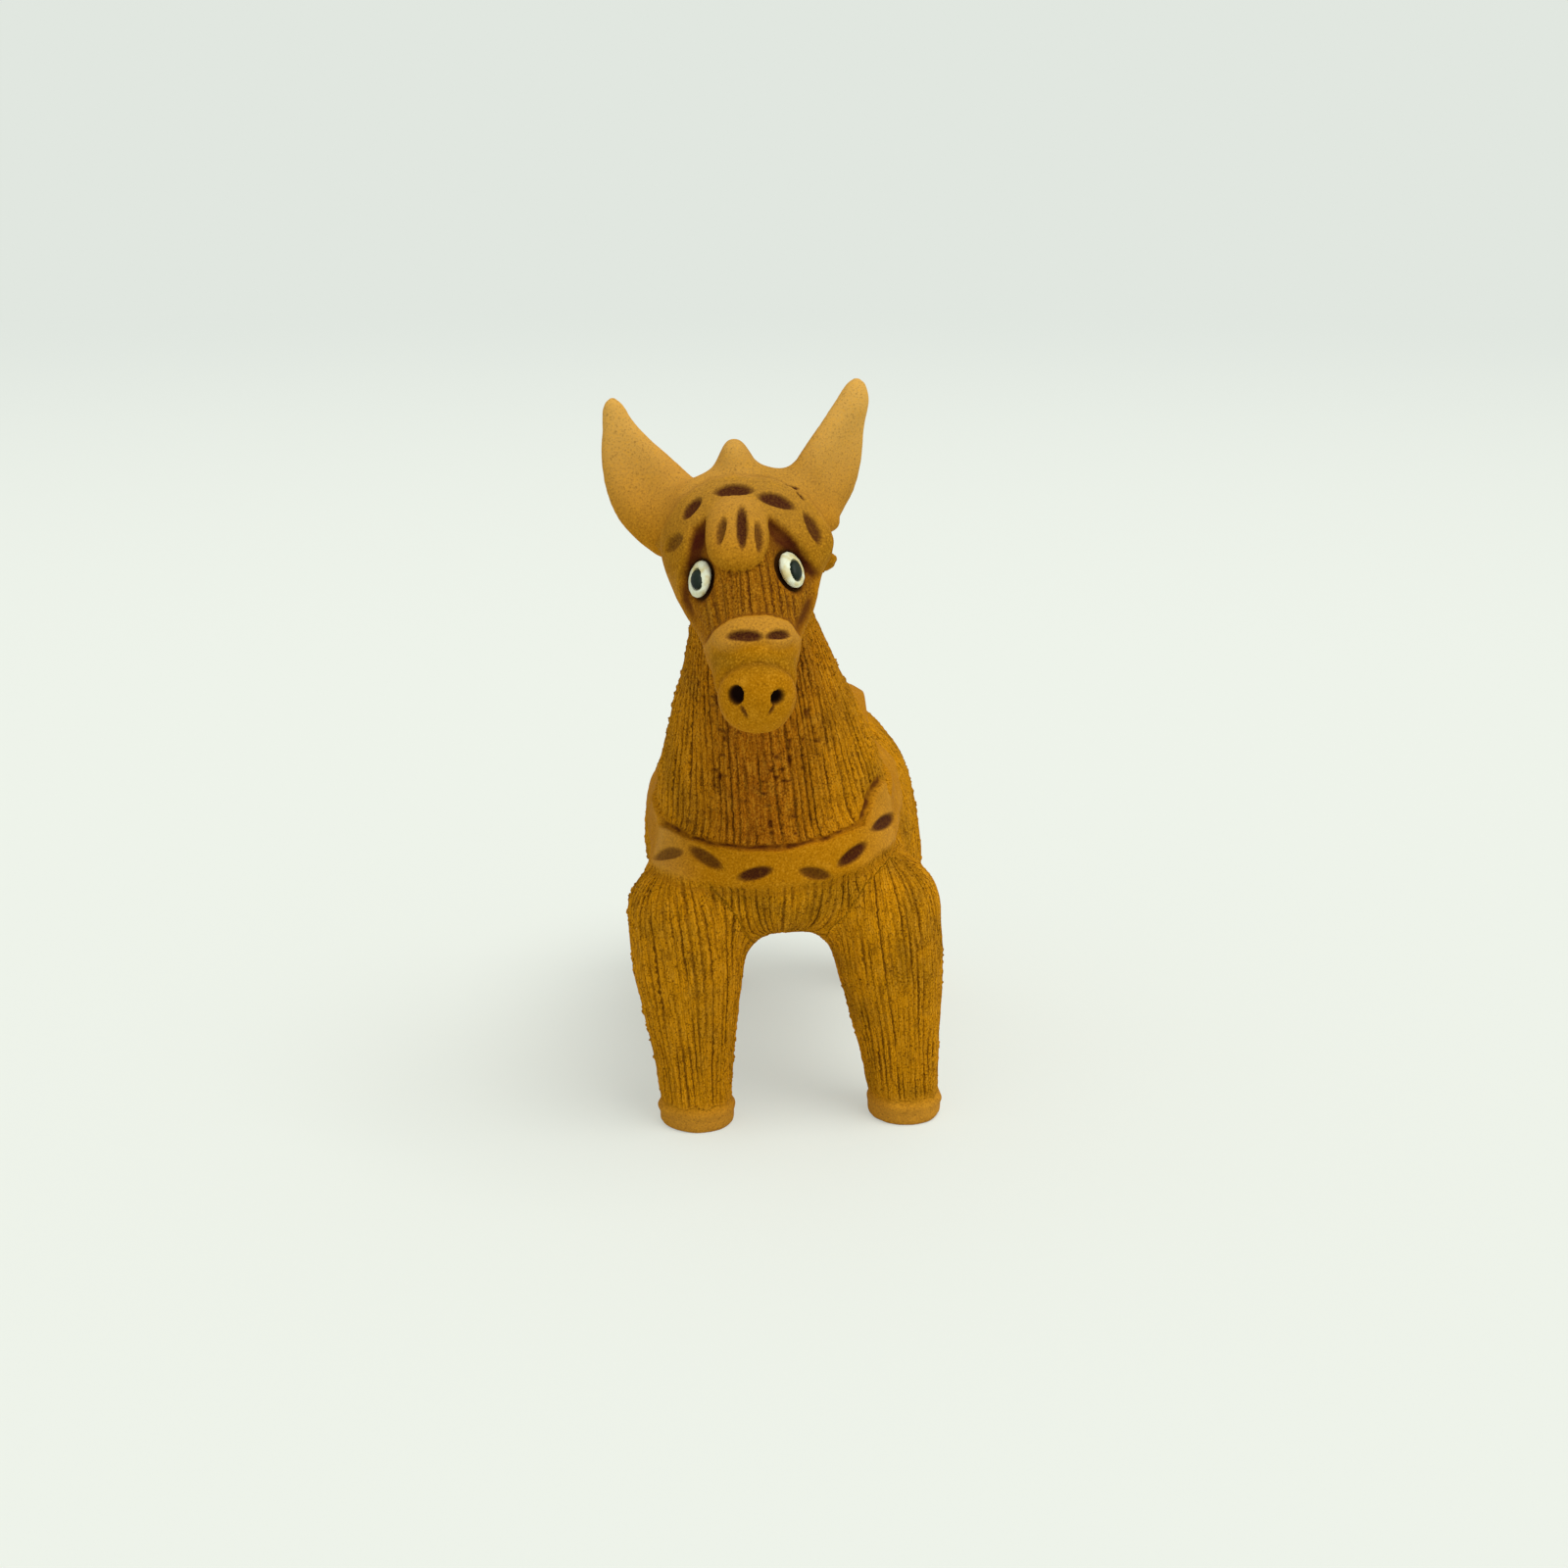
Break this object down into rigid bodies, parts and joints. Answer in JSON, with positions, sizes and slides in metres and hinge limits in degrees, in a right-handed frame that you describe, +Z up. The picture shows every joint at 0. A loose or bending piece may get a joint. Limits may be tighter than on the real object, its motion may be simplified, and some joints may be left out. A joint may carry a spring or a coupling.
{
  "type": "animal figurine",
  "caption": "Standing terracotta donkey ornament with tall ears, combed coat, bridle, notched breast collar and saddle pad, resting on flat hooves.",
  "frame": {"origin": "on the surface that the hooves stand on, under the middle of the bounding box", "axes": "+Z up, -Y the way the donkey looks, +X its left side"},
  "size_m": [0.0808, 0.1708, 0.1803],
  "materials": {
    "combed_clay": "combed, unglazed",
    "smooth_clay": "smoothed, unglazed",
    "eye_glaze": "gloss",
    "pupil_glaze": "gloss"
  },
  "bodies": {
    "root": {"trunk": "combed_clay", "neck": "combed_clay", "mane": "combed_clay", "tail": "combed_clay", "head": "combed_clay", "leg_front_left": "combed_clay", "leg_front_right": "combed_clay", "leg_rear_left": "combed_clay", "leg_rear_right": "combed_clay", "saddle": "smooth_clay", "breast_collar": "smooth_clay", "nose": "smooth_clay", "browband": "smooth_clay", "noseband": "smooth_clay", "forelock": "smooth_clay", "bridle_knot": "smooth_clay", "cheek_strap_left": "smooth_clay", "cheek_strap_right": "smooth_clay", "ear_left": "smooth_clay", "ear_right": "smooth_clay", "hoof_front_left": "smooth_clay", "hoof_front_right": "smooth_clay", "hoof_rear_left": "smooth_clay", "hoof_rear_right": "smooth_clay", "eye_left": "eye_glaze", "eye_right": "eye_glaze", "pupil_left": "pupil_glaze", "pupil_right": "pupil_glaze"}
  },
  "joints": []
}
